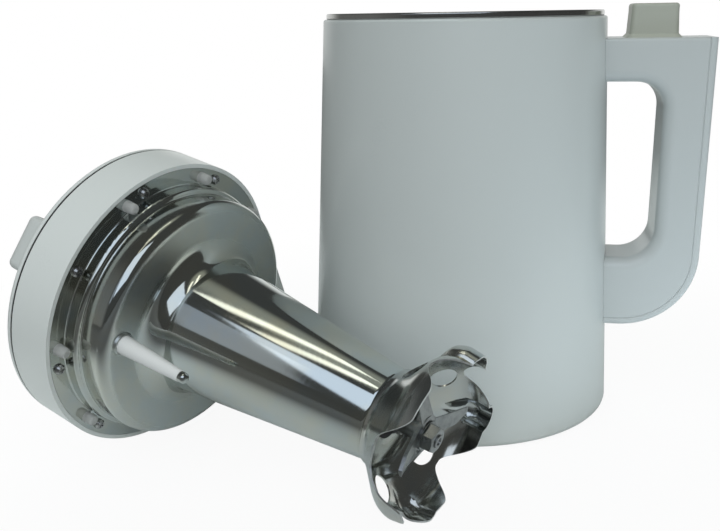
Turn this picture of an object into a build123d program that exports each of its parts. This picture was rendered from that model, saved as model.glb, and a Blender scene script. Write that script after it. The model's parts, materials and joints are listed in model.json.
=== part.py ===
from build123d import *
import math
import os

# Soy-milk maker: an upright jug and its motor head lying on its side in front of it.
# Millimetres. Z is up, the jug stands on z = 0 about the Z axis, its handle points along +X.

# Clearances
FIT = 0.15
LOOSE = 0.5
RUN = 0.04

# Jug shell
JUG_TOP_R = 75.0
JUG_BASE_R = 85.0
SHELL_TOP = 213.0
SHELL_WALL = 2.5
SHELL_EDGE = 3.0
LEDGE_W = 9.0

# Steel liner
LINER_WALL = 0.8
LINER_TOP_R = JUG_TOP_R - SHELL_WALL - 1.1
LINER_TAPER = 5.4
LINER_FLOOR = 30.0
LINER_CORNER = 13.0
RIM_H = 3.0
RIM_W = 2.0

# Underside
FOOT_PROUD = 1.2
FOOT_R = 7.0
COVER_T = 3.0
COVER_R = JUG_BASE_R - 8.0
FOOT_CIRCLE = COVER_R - 17.0
BASE_SCREW_CIRCLE = COVER_R - LEDGE_W / 2

# Heater
HEATER_T = 5.0
ELEMENT_R = 44.0
ELEMENT_W = 9.0
THERMOSTAT_R = 9.0

# Mains inlet at the back
INLET_W = 28.0
INLET_H = 20.0
INLET_Z = 26.0
INLET_DEPTH = 15.0

# Handle, measured out from the jug's top radius and down from its shell top
HANDLE_W = 37.0
HANDLE_TOP = SHELL_TOP - 11.2
HANDLE_BOTTOM = HANDLE_TOP - 153.0
HANDLE_REACH = JUG_TOP_R + 53.2
HANDLE_CORNER = 39.5
SPINE_T = 4.0
GRIP_T = 23.6
GRIP_INNER_X = HANDLE_REACH - GRIP_T
GAP_TOP = HANDLE_TOP - 22.0
GAP_BOTTOM = HANDLE_BOTTOM + 37.5
GAP_CORNER = 14.0
GRIP_ROUND = 6.0
SEAM = 0.4
DUCT_W = 20.0
DUCT_DEPTH = 9.0
LEAD_R = 1.4

# Coupler on the handle
TOWER_X = JUG_TOP_R + 23.0
TOWER_LEN = 24.6
TOWER_WID = 22.0
TOWER_DRAFT = 1.3
TOWER_FLARE = 3.4
TOWER_H = 12.4
CAP_H = 4.5
PIN_PITCH = 7.0
PIN_R = 1.5
SLEEVE_R = 2.3

# Lid of the head, pear-shaped in plan
LID_R = JUG_TOP_R
BEAK_R = 19.5
BEAK_X = TOWER_X + 13.2
BAND_H = 24.5
BAND_WALL = 2.5
TRIM_H = 1.2
LID_COVER_T = 3.5
LID_GRIP_W = 27.8
LID_GRIP_L = 118.0
LID_GRIP_H = 28.5
LID_GAP_L = 78.0
LID_GAP_H = 20.0

# Controls on the beak
PANEL_L = 46.0
PANEL_W = 26.0
PANEL_T = 1.5
PANEL_X = BEAK_X - 17.2
BUTTON_R = 4.5
BUTTON_PITCH = 14.5
BUTTON_PROUD = 1.2
BUTTON_TRAVEL = 1.0
LENS_R = 1.5
BOARD_Z = 18.0
BOARD_T = 1.6
SWITCH_H = 1.4

# Steel shell of the head: radii, and drops below the flange face
SHEET = 0.8
FLANGE_R = LINER_TOP_R + 1.4
STEP_R = FLANGE_R - 8.3
STEP_DROP = 7.5
DRUM_R = STEP_R - 2.5
DRUM_DROP = 23.0
TUBE_TOP_R = 35.0
TUBE_END_R = 21.5
TUBE_DROP = 138.0
TUBE_FILLET = 11.0
SEAL_R = 9.0

# Fasteners and pegs on the flange
FLANGE_SCREW_HEAD = 2.6
FLANGE_SCREW_CIRCLE = LINER_TOP_R - FLANGE_SCREW_HEAD - 0.2
FLANGE_SCREW_STEP = 41.0
PEG_R = 2.9
PEG_CIRCLE = LINER_TOP_R - PEG_R - 0.3
PEG_OFFSET = 9.0
PEG_H = 6.0

# Level electrode
ELECTRODE_R = (DRUM_R + TUBE_TOP_R) / 2 + 2.8
ELECTRODE_ANGLE = 155.0
ELECTRODE_L = 41.0
SLEEVE_BASE_R = 4.6
SLEEVE_END_R = 2.7
COLLAR_R = 5.8

# Blade guard, drops measured below the end of the tube
LOBES = 5
LOBE_PHASE = -19.0
GUARD_MAX_R = 38.4
GUARD_RIM_R = 35.0
GUARD_H = 31.0
NOTCH_H = 15.5
NOTCH_W = 31.0
GUARD_HOLE_R = 5.5
FLUTE_R = 7.0
FLUTE_SINK = 5.9

# Drive
SHAFT_R = 4.0
STUD_R = 3.1
ROTOR_R = 18.0
ROTOR_H = 24.0
AIR_GAP = 0.6
STATOR_R = 36.4
BEARING_R = 9.0
BEARING_H = 7.0
BLADE_H = 17.0
BLADE_R = 28.0
BLADE_T = 1.6
BLADE_PHASE = -35.0
WASHER_T = 1.2
NUT_AF = 11.0
NUT_H = 5.0

# How the head lies: heading of its axis on the table, and the foot of its lid
HEAD_YAW = -23.9
HEAD_X = -143.0
HEAD_Y = -87.7


def unit(ax, ay, bx, by):
    d = math.hypot(bx - ax, by - ay)
    return (bx - ax) / d, (by - ay) / d


def path(corners, closed=True):
    """Edges through (x, y, corner radius) points, each corner rounded to its radius."""
    n = len(corners)
    bends = []
    for i, (x, y, r) in enumerate(corners):
        inner = closed or 0 < i < n - 1
        if r <= 0 or not inner:
            bends.append(((x, y), (x, y), None))
            continue
        ua = unit(x, y, corners[i - 1][0], corners[i - 1][1])
        ub = unit(x, y, corners[(i + 1) % n][0], corners[(i + 1) % n][1])
        half = math.acos(max(-1.0, min(1.0, ua[0] * ub[0] + ua[1] * ub[1]))) / 2
        cut = r / math.tan(half)
        mx, my = ua[0] + ub[0], ua[1] + ub[1]
        ml = math.hypot(mx, my)
        reach = r / math.sin(half) - r
        start = (x + ua[0] * cut, y + ua[1] * cut)
        end = (x + ub[0] * cut, y + ub[1] * cut)
        bends.append((start, end, (x + mx / ml * reach, y + my / ml * reach)))
    edges = []
    for i in range(n):
        start, end, mid = bends[i]
        if mid is not None:
            edges.append(ThreePointArc(start, mid, end))
        if closed or i < n - 1:
            nxt = bends[(i + 1) % n][0]
            if math.hypot(nxt[0] - end[0], nxt[1] - end[1]) > 1e-6:
                edges.append(Line(end, nxt))
    return edges


def region(corners):
    """Flat face bounded by rounded corners."""
    return make_face(path(corners))


def turned(corners):
    """Solid of revolution about Z of a rounded (r, z) outline."""
    return revolve(Plane.XZ * region(corners), Axis.Z)


def sheet_outline(corners, t):
    """Closed outline of a sheet: an open rounded (r, z) path and its copy t to the left."""
    n = len(corners)
    dirs = []
    for i in range(n - 1):
        dirs.append(unit(*corners[i][:2], *corners[i + 1][:2]))
    back = []
    for i, (x, y, r) in enumerate(corners):
        if i == 0 or i == n - 1:
            ux, uy = dirs[0] if i == 0 else dirs[-1]
            back.append((x - uy * t, y + ux * t, 0))
            continue
        (ax, ay), (bx, by) = dirs[i - 1], dirs[i]
        turn = ax * by - ay * bx
        k = t / (1 + ax * bx + ay * by)
        nx, ny = -(ay + by) * k, (ax + bx) * k
        back.append((x + nx, y + ny, max(0.0, r - t if turn > 0 else r + t)))
    return list(corners) + back[::-1]


def ring_of(shape, radius, angles, z=0.0):
    """Copies of a shape at the given angles on a circle, as a list."""
    return [Pos(0, 0, z) * Rot(0, 0, a) * Pos(radius, 0, 0) * shape for a in angles]


def rounded_box(lx, ly, h, r, z=0.0):
    return Pos(0, 0, z) * extrude(RectangleRounded(lx, ly, r), h)


def rod(r, z0, z1):
    return Pos(0, 0, z0) * Cylinder(r, z1 - z0, align=(Align.CENTER, Align.CENTER, Align.MIN))


def pan_screw(head_r, head_h, shank_r, length):
    """Cross-head screw along Z: head below z = 0, shank above."""
    head = Pos(0, 0, -head_h * 0.725) * Cone(head_r * 0.72, head_r, head_h * 0.55)
    head += rod(head_r, -head_h * 0.45, 0)
    head += rod(shank_r, 0, length)
    slot = Box(head_r * 1.1, head_r * 0.28, head_h * 0.55)
    return head - Pos(0, 0, -head_h) * slot - Pos(0, 0, -head_h) * Rot(0, 0, 90) * slot


def shell_r(z):
    """Outer radius of the jug at a height."""
    return JUG_BASE_R + (JUG_TOP_R - JUG_BASE_R) * (z - FOOT_PROUD) / (SHELL_TOP - FOOT_PROUD)


parts = {}

# Jug shell: tapered wall, lip under the steel rim, recessed ledge for the base cover
floor_z = FOOT_PROUD
ledge_z = floor_z + COVER_T
ledge_r = COVER_R - LEDGE_W
lip_r = LINER_TOP_R + LINER_WALL + LOOSE
shell = turned([
    (JUG_BASE_R, floor_z, SHELL_EDGE),
    (JUG_TOP_R, SHELL_TOP, 1.2),
    (lip_r, SHELL_TOP, 0),
    (lip_r, SHELL_TOP - SHELL_WALL, 0),
    (shell_r(SHELL_TOP - 2 * SHELL_WALL) - SHELL_WALL, SHELL_TOP - 2 * SHELL_WALL, 0),
    (shell_r(ledge_z + SHELL_WALL) - SHELL_WALL, ledge_z + SHELL_WALL, 1.0),
    (ledge_r, ledge_z + SHELL_WALL, 0),
    (ledge_r, ledge_z, 0),
    (COVER_R + FIT, ledge_z, 0),
    (COVER_R + FIT, floor_z, 0),
])
base_angles = [45, 135, 225, 315]
for boss in ring_of(rod(4.0, ledge_z, ledge_z + 10.0), BASE_SCREW_CIRCLE, base_angles):
    shell += boss
for hole in ring_of(rod(1.5 + FIT, ledge_z - 1, ledge_z + 8.5), BASE_SCREW_CIRCLE, base_angles):
    shell -= hole
inlet_cut = Pos(0, JUG_BASE_R - 5, INLET_Z) * Box(INLET_W + 2 * FIT, 30, INLET_H + 2 * FIT)
shell -= inlet_cut
lead_z = HANDLE_BOTTOM + 20.0
duct_face = Plane(origin=(JUG_TOP_R - 10, 0, lead_z), x_dir=(0, 1, 0), z_dir=(1, 0, 0))
duct_slot = extrude(duct_face * SlotOverall(DUCT_W, 8), 45)
shell -= duct_slot
hscrew_z = [HANDLE_BOTTOM + 9.0, HANDLE_BOTTOM + 31.0]
for z in hscrew_z:
    shell -= Pos(shell_r(z) - 6, 0, z) * Rot(0, 90, 0) * Cylinder(2.0 + FIT, 30)
parts["jug_shell"] = shell

# Steel liner: deep cup with a rolled rim standing on the shell's lip
cup = turned(sheet_outline([
    (0, LINER_FLOOR, 0),
    (LINER_TOP_R - LINER_TAPER, LINER_FLOOR, LINER_CORNER),
    (LINER_TOP_R, SHELL_TOP + RIM_H / 2, 0),
], -LINER_WALL))
rim_z = SHELL_TOP + RIM_H
bead = turned([
    (LINER_TOP_R, SHELL_TOP, 0),
    (LINER_TOP_R + RIM_W, SHELL_TOP, 0.6),
    (LINER_TOP_R + RIM_W, rim_z, 0.9),
    (LINER_TOP_R, rim_z, 0.9),
])
parts["jug_liner"] = cup + bead

# Heater stack under the liner floor
plate_top = LINER_FLOOR - LINER_WALL
plate_bottom = plate_top - HEATER_T
heater_r = LINER_TOP_R - LINER_TAPER - LINER_CORNER - 1.0
parts["heater_plate"] = turned([
    (0, plate_bottom, 0),
    (heater_r + 1.5, plate_bottom, 1.5),
    (heater_r, plate_top, 0),
    (0, plate_top, 0),
])
element = revolve(Plane.XZ * region([
    (ELEMENT_R - ELEMENT_W / 2, plate_bottom, 0),
    (ELEMENT_R - ELEMENT_W / 2, plate_bottom - 7, 3.4),
    (ELEMENT_R + ELEMENT_W / 2, plate_bottom - 7, 3.4),
    (ELEMENT_R + ELEMENT_W / 2, plate_bottom, 0),
]), Axis.Z, 318)
for a in (0, 318):
    tail = Rot(0, 0, a) * Pos(ELEMENT_R, 0, plate_bottom - 4) * Rot(90, 0, 0) * Cylinder(1.8, 12)
    element += tail
parts["heater_element"] = element
thermo = rod(THERMOSTAT_R, plate_bottom - 8, plate_bottom)
for sx in (-1, 1):
    thermo += Pos(sx * (THERMOSTAT_R + 2.5), 0, plate_bottom - 5) * Box(7, 5, 0.8)
parts["thermostat"] = thermo

# Base cover with four feet round its edge, one in the middle, and screws
cover = turned([(0, floor_z, 0), (COVER_R, floor_z, 0.8), (COVER_R, ledge_z, 0), (0, ledge_z, 0)])
foot_angles = [15, 105, 195, 285]
for a in range(0, 360, 30):
    cover -= Rot(0, 0, a) * Pos(36, 0, floor_z) * Box(22, 3, 4 * COVER_T)
foot_hole = rod(2.4 + FIT, floor_z - 1, ledge_z + 1)
for hole in ring_of(foot_hole, FOOT_CIRCLE, foot_angles) + [foot_hole]:
    cover -= hole
for hole in ring_of(rod(1.5 + LOOSE, floor_z - 1, ledge_z + 1), BASE_SCREW_CIRCLE, base_angles):
    cover -= hole
for sink in ring_of(rod(3.0 + FIT, floor_z - 1, floor_z + 1.8), BASE_SCREW_CIRCLE, base_angles):
    cover -= sink
parts["base_cover"] = cover
foot = turned([
    (0, 0, 0),
    (FOOT_R, 0, 0.5),
    (FOOT_R, floor_z, 0),
    (2.4, floor_z, 0),
    (2.4, ledge_z + 0.5, 0),
    (0, ledge_z + 0.5, 0),
])
parts["feet"] = Compound(children=ring_of(foot, FOOT_CIRCLE, foot_angles) + [foot])
base_screw = pan_screw(3.0, 1.6, 1.5, ledge_z + 6.0 - floor_z - 1.8)
parts["base_screws"] = Compound(children=ring_of(base_screw, BASE_SCREW_CIRCLE, base_angles, floor_z + 1.8))

# Mains inlet through the hidden back wall, with a recessed three-pin well
inlet_front = shell_r(INLET_Z + INLET_H / 2) + 1.0
inlet_back = INLET_DEPTH + 3.0
inlet = Pos(0, inlet_front - inlet_back / 2, INLET_Z) * Box(INLET_W, inlet_back, INLET_H)
inlet = fillet(inlet.edges().filter_by(Axis.Y), 2.0)
inlet += Pos(0, inlet_front - 7.7, INLET_Z) * Box(INLET_W + 9, 3, INLET_H + 6)
well = Pos(0, inlet_front - INLET_DEPTH / 2, INLET_Z) * Box(INLET_W - 6, INLET_DEPTH, INLET_H - 6)
inlet -= fillet(well.edges().filter_by(Axis.Y), 3.0)
pin_spots = [(-6.5, -1.8), (0, 2.2), (6.5, -1.8)]
blade_pin = Box(2.0, 14.0, 4.0)
for px, pz in pin_spots:
    inlet -= Pos(px, inlet_front - INLET_DEPTH - 3, INLET_Z + pz) * Box(2.0 + FIT, 14.0, 4.0 + FIT)
parts["power_inlet"] = inlet
inlet_pins = [Pos(px, inlet_front - INLET_DEPTH + 2, INLET_Z + pz) * blade_pin for px, pz in pin_spots]
parts["inlet_pins"] = Compound(children=inlet_pins)

# Handle: a C-shaped grip whose outer strip is a separate spine
seam_x = HANDLE_REACH - SPINE_T
seam_z = HANDLE_BOTTOM + SPINE_T
seam_r = HANDLE_CORNER - SPINE_T
root_x = JUG_TOP_R - 12
jug_solid = turned([
    (0, -5, 0),
    (shell_r(-5) + 0.03, -5, 0),
    (shell_r(SHELL_TOP + 5) + 0.03, SHELL_TOP + 5, 0),
    (0, SHELL_TOP + 5, 0),
])


def side_slab(corners, width):
    """Plate drawn in x and z, centred on the handle's mid plane."""
    return Pos(0, width / 2, 0) * extrude(Plane.XZ * region(corners), width)


def seam_edges(piece):
    """Long edges where a side of the handle meets the seam between body and spine."""
    sides = [e for e in piece.edges() if abs(abs(e.center().Y) - HANDLE_W / 2) < 0.01]
    found = []
    for e in sides:
        at = e @ 0.5
        on_back = abs(at.X - seam_x) < 0.05 and at.Z > seam_z + seam_r - 1
        on_foot = abs(at.Z - seam_z) < 0.05 and at.X < seam_x - seam_r + 1
        from_bend = math.hypot(at.X - seam_x + seam_r, at.Z - seam_z - seam_r)
        on_bend = abs(from_bend - seam_r) < 0.05 and at.X > seam_x - seam_r and at.Z < seam_z + seam_r
        if on_back or on_foot or on_bend:
            found.append(e)
    return found


body = side_slab([
    (root_x, seam_z, 0),
    (seam_x, seam_z, seam_r),
    (seam_x, HANDLE_TOP, 0),
    (root_x, HANDLE_TOP, 0),
], HANDLE_W)
gap = side_slab([
    (root_x - 5, GAP_BOTTOM, 0),
    (GRIP_INNER_X, GAP_BOTTOM, GAP_CORNER + 2),
    (GRIP_INNER_X, GAP_TOP, GAP_CORNER),
    (root_x - 5, GAP_TOP, 0),
], HANDLE_W + 2)
body -= gap
inner = body.edges().filter_by_position(Axis.X, root_x + 0.5, GRIP_INNER_X + 0.1)
inner = inner.filter_by_position(Axis.Z, GAP_BOTTOM - 0.1, GAP_TOP + 0.1)
inner = [e for e in inner if abs(abs(e.center().Y) - HANDLE_W / 2) < 0.01]
body = fillet(inner, GRIP_ROUND)
top_sides = [e for e in body.edges().filter_by(Axis.X) if abs(e.center().Z - HANDLE_TOP) < 0.01]
body = fillet(top_sides, 1.5)
body = chamfer(seam_edges(body), SEAM)
duct_x = seam_x - DUCT_DEPTH
body -= side_slab([
    (root_x + 40, seam_z + 10, 0),
    (seam_x + 1, seam_z + 10, seam_r - 9),
    (seam_x + 1, HANDLE_TOP - 5, 0),
    (TOWER_X - 5, HANDLE_TOP - 5, 0),
    (TOWER_X - 5, HANDLE_TOP - 5 - DUCT_DEPTH, 0),
    (duct_x, HANDLE_TOP - 5 - DUCT_DEPTH, 3),
    (duct_x, lead_z + 8, 6),
    (root_x + 40, lead_z + 8, 0),
], DUCT_W)
body -= duct_slot
body -= Pos(TOWER_X, 0, HANDLE_TOP - 8) * Rot(0, 0, 90) * extrude(SlotOverall(DUCT_W, 8), 10)
for z in hscrew_z:
    body -= Pos(shell_r(z), 0, z) * Rot(0, 90, 0) * Cylinder(1.5 + FIT, 26)
body -= jug_solid
parts["handle_body"] = body

spine = side_slab([
    (root_x, HANDLE_BOTTOM, 0),
    (HANDLE_REACH, HANDLE_BOTTOM, HANDLE_CORNER),
    (HANDLE_REACH, HANDLE_TOP, 0),
    (seam_x, HANDLE_TOP, 0),
    (seam_x, seam_z, seam_r),
    (root_x, seam_z, 0),
], HANDLE_W)
outer = [e for e in spine.edges() if abs(abs(e.center().Y) - HANDLE_W / 2) < 0.01]
outer = [e for e in outer if e.center().X > seam_x + 0.1 or e.center().Z < seam_z - 0.1]
outer = [e for e in outer if e.length > SPINE_T + 1]
spine = fillet(outer, 2.6)
spine = chamfer(seam_edges(spine), SEAM)
spine -= jug_solid
parts["handle_spine"] = spine

hscrew = pan_screw(3.4, 2.2, 1.5, 14.0)
hscrews = []
for z in hscrew_z:
    hscrews.append(Pos(shell_r(z) - SHELL_WALL - 0.22, 0, z) * Rot(0, 90, 0) * hscrew)
parts["handle_screws"] = Compound(children=hscrews)

# Coupler plug on the handle: drafted tower with a flared foot, cap and three contact sleeves
tower_base = Plane.XY.offset(HANDLE_TOP) * RectangleRounded(TOWER_LEN, TOWER_WID, 3.0)
tower_neck = Plane.XY.offset(HANDLE_TOP + TOWER_H)
neck = RectangleRounded(TOWER_LEN - TOWER_DRAFT, TOWER_WID - TOWER_DRAFT, 2.6)
tower = loft([tower_base, tower_neck * neck])
flare = RectangleRounded(TOWER_LEN + TOWER_FLARE, TOWER_WID + TOWER_FLARE, 4.0)
flare_foot = Plane.XY.offset(HANDLE_TOP) * flare
flare_top = Plane.XY.offset(HANDLE_TOP + 1.8) * RectangleRounded(TOWER_LEN, TOWER_WID, 3.0)
tower += loft([flare_foot, flare_top])
sleeve_top = HANDLE_TOP + TOWER_H + CAP_H - 0.8
sleeve_bottom = HANDLE_TOP + 3.0
pins_y = [-PIN_PITCH, 0, PIN_PITCH]
for y in pins_y:
    tower -= rod(SLEEVE_R + FIT, HANDLE_TOP - 1, HANDLE_TOP + TOWER_H + 1).moved(Location((0, y, 0)))
parts["coupler_tower"] = Pos(TOWER_X, 0, 0) * tower
cap = extrude(tower_neck * neck, CAP_H)
cap = fillet(cap.faces().sort_by(Axis.Z)[-1].edges(), 1.6)
cap_top = HANDLE_TOP + TOWER_H + CAP_H
for y in pins_y:
    cap -= rod(SLEEVE_R + FIT, HANDLE_TOP + TOWER_H - 1, cap_top - 0.8).moved(Location((0, y, 0)))
    cap -= rod(PIN_R + LOOSE, HANDLE_TOP + TOWER_H - 1, cap_top + 1).moved(Location((0, y, 0)))
parts["coupler_cap"] = Pos(TOWER_X, 0, 0) * cap
sleeve = rod(SLEEVE_R, sleeve_bottom, sleeve_top) - rod(PIN_R + 0.3, sleeve_bottom + 3, sleeve_top + 1)
parts["coupler_sleeves"] = Compound(children=[Pos(TOWER_X, y, 0) * sleeve for y in pins_y])

# Leads from the sleeves down the handle duct into the jug
lead_path = Wire(path([
    (TOWER_X, sleeve_bottom, 0),
    (TOWER_X, HANDLE_TOP - 5 - DUCT_DEPTH / 2, 5),
    (duct_x + DUCT_DEPTH / 2, HANDLE_TOP - 5 - DUCT_DEPTH / 2, 5),
    (duct_x + DUCT_DEPTH / 2, lead_z, 12),
    (JUG_BASE_R - 9, lead_z, 0),
], False))
lead_route = Plane.XZ * lead_path
lead_end = Plane(origin=lead_route @ 0, z_dir=lead_route % 0)
lead = sweep(lead_end * Circle(LEAD_R), path=lead_route)
leads = []
for y in pins_y:
    leads.append(Pos(0, y, 0) * lead)
parts["coupler_leads"] = Compound(children=leads)

# Head, modelled upright with its flange face on z = 0 and the beak along +X


def pear(inset):
    """Lid outline in plan: a big circle and a beak circle with their two common tangents."""
    big, small = LID_R - inset, BEAK_R - inset
    t = math.acos((big - small) / BEAK_X)
    bx, by = big * math.cos(t), big * math.sin(t)
    sx, sy = BEAK_X + small * math.cos(t), small * math.sin(t)
    return make_face([
        ThreePointArc((bx, by), (-big, 0), (bx, -by)),
        Line((bx, -by), (sx, -sy)),
        ThreePointArc((sx, -sy), (BEAK_X + small, 0), (sx, sy)),
        Line((sx, sy), (bx, by)),
    ])


head = {}
screw_angles = [180 + FLANGE_SCREW_STEP * k for k in range(-3, 4)] + [0]
peg_angles = []
for k in (1, 2, 3):
    peg_angles += [180 + FLANGE_SCREW_STEP * k - PEG_OFFSET, 180 - FLANGE_SCREW_STEP * k + PEG_OFFSET]

# White side wall with the beak floor, screw bosses and the skirt round the plug
sock_len = TOWER_LEN + TOWER_FLARE + 2 * LOOSE
sock_wid = TOWER_WID + TOWER_FLARE + 2 * LOOSE
skirt_drop = rim_z - HANDLE_TOP - 1.0
band = extrude(pear(0), BAND_H) - extrude(pear(BAND_WALL), BAND_H)
beak_floor = extrude(pear(BAND_WALL - 0.1), BAND_WALL) - rod(FLANGE_R + FIT, -1, BAND_WALL + 1)
band += beak_floor
band += Pos(TOWER_X, 0, 0) * rounded_box(sock_len + 5, sock_wid + 5, skirt_drop + BAND_WALL, 5, -skirt_drop)
band -= rod(FLANGE_R + FIT, -1, SHEET)
boss_r = FLANGE_R - FLANGE_SCREW_CIRCLE + 0.6
for boss in ring_of(rod(boss_r, SHEET, 14.0), FLANGE_SCREW_CIRCLE, screw_angles):
    band += boss
for hole in ring_of(rod(1.5 + FIT, -1, 12.0), FLANGE_SCREW_CIRCLE, screw_angles):
    band -= hole
band -= Pos(TOWER_X, 0, 0) * rounded_box(sock_len, sock_wid, 40, 3.4, -skirt_drop - 1)
for px, py in ((PANEL_X - 18, 12), (PANEL_X - 18, -12), (PANEL_X + 23, 11), (PANEL_X + 23, -11)):
    band += Pos(px, py, 0) * rod(2.2, BAND_WALL - 0.1, BOARD_Z)
head["lid_band"] = band
trim_face = pear(0.3) - pear(BAND_WALL + 2)
head["lid_trim"] = Pos(0, 0, BAND_H) * extrude(trim_face, TRIM_H)

# Top cover and arched grip
cover_z = BAND_H + TRIM_H
cover_top = cover_z + LID_COVER_T
lid = Pos(0, 0, cover_z) * extrude(pear(0), LID_COVER_T)
lid = fillet(lid.faces().sort_by(Axis.Z)[-1].edges(), 2.4)
panel_z = cover_top - PANEL_T + 0.3
lid -= Pos(PANEL_X, 0, 0) * rounded_box(PANEL_L + 2 * FIT, PANEL_W + 2 * FIT, 5, 4 + FIT, panel_z)
button_x = [PANEL_X + BUTTON_PITCH * k for k in (-1, 0, 1)]
for x in button_x:
    lid -= Pos(x, 0, 0) * rod(BUTTON_R + LOOSE, cover_z - 1, cover_top + 1)
    lid -= Pos(x, PANEL_W / 2 - 4, 0) * rod(LENS_R + FIT, cover_z - 1, cover_top + 1)
head["lid_cover"] = lid
half, leg = LID_GRIP_L / 2, LID_GAP_L / 2
grip_top = cover_top + LID_GRIP_H
arch = side_slab([
    (-half - 2, cover_top, 0),
    (-half + 1, grip_top, 9),
    (half - 1, grip_top, 9),
    (half + 2, cover_top, 0),
    (leg + 2, cover_top, 0),
    (leg - 1, cover_top + LID_GAP_H, 10),
    (-leg + 1, cover_top + LID_GAP_H, 10),
    (-leg - 2, cover_top, 0),
], LID_GRIP_W)
arch_sides = [e for e in arch.edges() if abs(abs(e.center().Y) - LID_GRIP_W / 2) < 0.01]
arch_sides = [e for e in arch_sides if e.center().Z > cover_top + 0.1]
head["lid_grip"] = fillet(arch_sides, 3.2)

# Controls on the beak
panel = Pos(PANEL_X, 0, 0) * rounded_box(PANEL_L, PANEL_W, PANEL_T, 4, panel_z)
for x in button_x:
    panel -= Pos(x, 0, 0) * rod(BUTTON_R + LOOSE, panel_z - 1, cover_top + 2)
    panel -= Pos(x, PANEL_W / 2 - 4, 0) * rod(LENS_R + FIT, panel_z - 1, cover_top + 2)
head["control_panel"] = panel
button_top = cover_top + 0.3 + BUTTON_PROUD
button_foot = BOARD_Z + BOARD_T + SWITCH_H + BUTTON_TRAVEL + 0.4
cap_face = turned([
    (0, button_foot, 0),
    (BUTTON_R + 1.2, button_foot, 0.3),
    (BUTTON_R + 1.2, button_foot + 1.4, 0.3),
    (BUTTON_R, button_foot + 1.4, 0),
    (BUTTON_R, button_top, 1.0),
    (0, button_top - 0.5, 0),
])
for k, x in enumerate(button_x):
    head["button_%d" % (k + 1)] = Pos(x, 0, 0) * cap_face
lens = rod(LENS_R, cover_z + 0.5, cover_top + 0.3)
lens += Pos(0, 0, cover_top + 0.55) * Cone(LENS_R, 0.7, 0.5)
head["indicator_lenses"] = Compound(children=[Pos(x, PANEL_W / 2 - 4, 0) * lens for x in button_x])
board = Pos(PANEL_X + 2, 0, 0) * rounded_box(PANEL_L, PANEL_W + 2, BOARD_T, 2, BOARD_Z)
head["control_board"] = board
switch = Box(6, 6, SWITCH_H, align=(Align.CENTER, Align.CENTER, Align.MIN))
head["board_switches"] = Compound(children=[Pos(x, 0, BOARD_Z + BOARD_T) * switch for x in button_x])

# Socket in the beak: block over the plug opening with three hanging pins
block = Pos(TOWER_X, 0, 0) * rounded_box(sock_len + 3.5, sock_wid + 3.5, 8.0, 2, BAND_WALL)
block -= Pos(TOWER_X, 0, 0) * rounded_box(sock_len, sock_wid, 2.2, 2, BAND_WALL - 1)
for y in pins_y:
    block -= rod(PIN_R + FIT, BAND_WALL - 1, 20).moved(Location((TOWER_X, y, 0)))
head["coupler_socket"] = block
contact = rod(PIN_R, -8.0, BAND_WALL + 10.0) + rod(PIN_R + 1.2, BAND_WALL + 8.0, BAND_WALL + 9.0)
head["socket_contacts"] = Compound(children=[Pos(TOWER_X, y, 0) * contact for y in pins_y])

# Polished steel shell: flange, step, drum, flat brushed face, concave fillet and tapering tube
steel = turned(sheet_outline([
    (FLANGE_R, 0, 0),
    (STEP_R, 0, 0.8),
    (STEP_R, -STEP_DROP, 2.2),
    (DRUM_R, -STEP_DROP, 0.9),
    (DRUM_R, -DRUM_DROP, 5.0),
    (TUBE_TOP_R, -DRUM_DROP, TUBE_FILLET),
    (TUBE_END_R, -TUBE_DROP, 2.5),
    (SEAL_R, -TUBE_DROP, 0),
], -SHEET))
for hole in ring_of(rod(1.5 + LOOSE, -2, 2), FLANGE_SCREW_CIRCLE, screw_angles):
    steel -= hole
for hole in ring_of(rod(2.0 + FIT, -2, 2), PEG_CIRCLE, peg_angles):
    steel -= hole
stem_r = SLEEVE_BASE_R - 0.9
steel -= ring_of(rod(stem_r + FIT, -DRUM_DROP - 3, -DRUM_DROP + 3), ELECTRODE_R, [ELECTRODE_ANGLE])[0]
guard_screw_r = (SEAL_R + TUBE_END_R) / 2 + 0.5
guard_screw_angles = [LOBE_PHASE + 36 + 120 * k for k in range(3)]
for hole in ring_of(rod(1.2 + FIT, -TUBE_DROP - 2, -TUBE_DROP + 2), guard_screw_r, guard_screw_angles):
    steel -= hole
head["head_shell"] = steel
flange_screw = pan_screw(FLANGE_SCREW_HEAD, 2.0, 1.5, 10.0)
head["flange_screws"] = Compound(children=ring_of(flange_screw, FLANGE_SCREW_CIRCLE, screw_angles))
peg = turned([
    (0, -PEG_H, 0),
    (PEG_R - 0.4, -PEG_H, 1.4),
    (PEG_R, 0, 0),
    (2.0, 0, 0),
    (2.0, SHEET, 0),
    (3.0, SHEET, 0),
    (2.2, SHEET + 3.0, 0.8),
    (0, SHEET + 3.0, 0),
])
head["rest_pegs"] = Compound(children=ring_of(peg, PEG_CIRCLE, peg_angles))

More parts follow.
